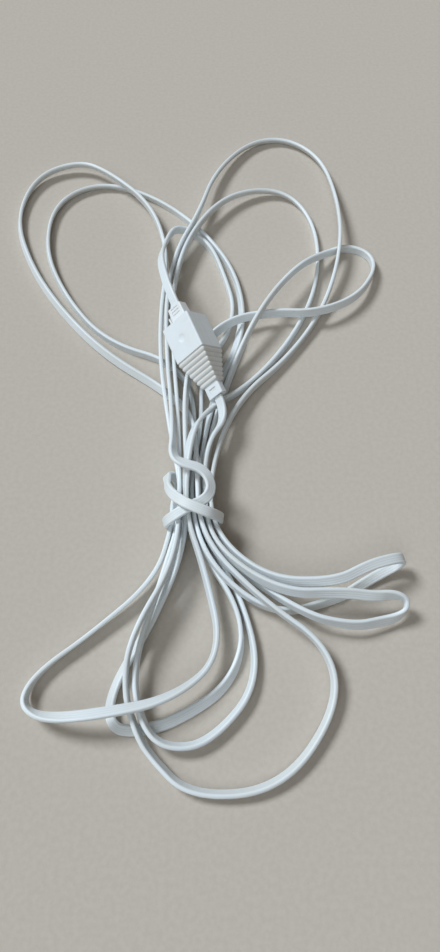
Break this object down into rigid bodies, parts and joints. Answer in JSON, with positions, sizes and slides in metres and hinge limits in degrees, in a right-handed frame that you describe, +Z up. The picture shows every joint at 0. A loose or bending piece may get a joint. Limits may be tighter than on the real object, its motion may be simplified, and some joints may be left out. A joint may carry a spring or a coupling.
{
  "type": "telephone extension lead",
  "caption": "Hanked flat telephone extension lead, tied round its waist with its own cord, with its plug in its own inline socket.",
  "frame": {"origin": "bottom centre of the bounding box: the floor point under the middle of the hank as it lies", "axes": "+Z up from the floor, +Y along the hank from its short loops to its long loops, +X to the right as seen from above"},
  "size_m": [0.2723, 0.506, 0.0435],
  "materials": {
    "cord_jacket": "satin",
    "housing": "satin",
    "jack_insert": "satin",
    "plug": "satin",
    "clamp": "satin",
    "contacts": "polished",
    "core_1": "satin",
    "core_2": "satin",
    "core_3": "satin",
    "core_4": "satin"
  },
  "bodies": {
    "hank_and_socket": {"socket_shell_upper": "housing", "socket_shell_lower": "housing", "jack_insert": "jack_insert", "socket_cord_clamp": "clamp", "socket_contact_1": "contacts", "socket_contact_2": "contacts", "socket_contact_3": "contacts", "socket_contact_4": "contacts", "socket_core_1": "core_1", "socket_core_2": "core_2", "socket_core_3": "core_3", "socket_core_4": "core_4", "cord_plug_tail": "cord_jacket", "cord_hank": "cord_jacket", "cord_socket_tail": "cord_jacket"},
    "plug": {"plug_body": "plug", "plug_cord_clamp": "clamp", "plug_cord_end": "cord_jacket", "plug_contact_1": "contacts", "plug_contact_2": "contacts", "plug_contact_3": "contacts", "plug_contact_4": "contacts", "plug_core_1": "core_1", "plug_core_2": "core_2", "plug_core_3": "core_3", "plug_core_4": "core_4"},
    "latch": {"plug_latch_lever": "plug"}
  },
  "joints": [
    {"name": "plug_slide", "type": "slide", "parent": "hank_and_socket", "child": "plug", "axis": [-0.3952, 0.9003, 0.1822], "range_m": [0, 0.013], "deforming": ["cord_plug_tail"]},
    {"name": "latch_press", "type": "hinge", "parent": "plug", "child": "latch", "pos_m": [-0.00303, 0.02418, 0.02179], "axis": [0.6042, 0.4042, -0.6867], "range_deg": [0, 4.5], "stiffness_Nm_per_rad": 0.05}
  ]
}
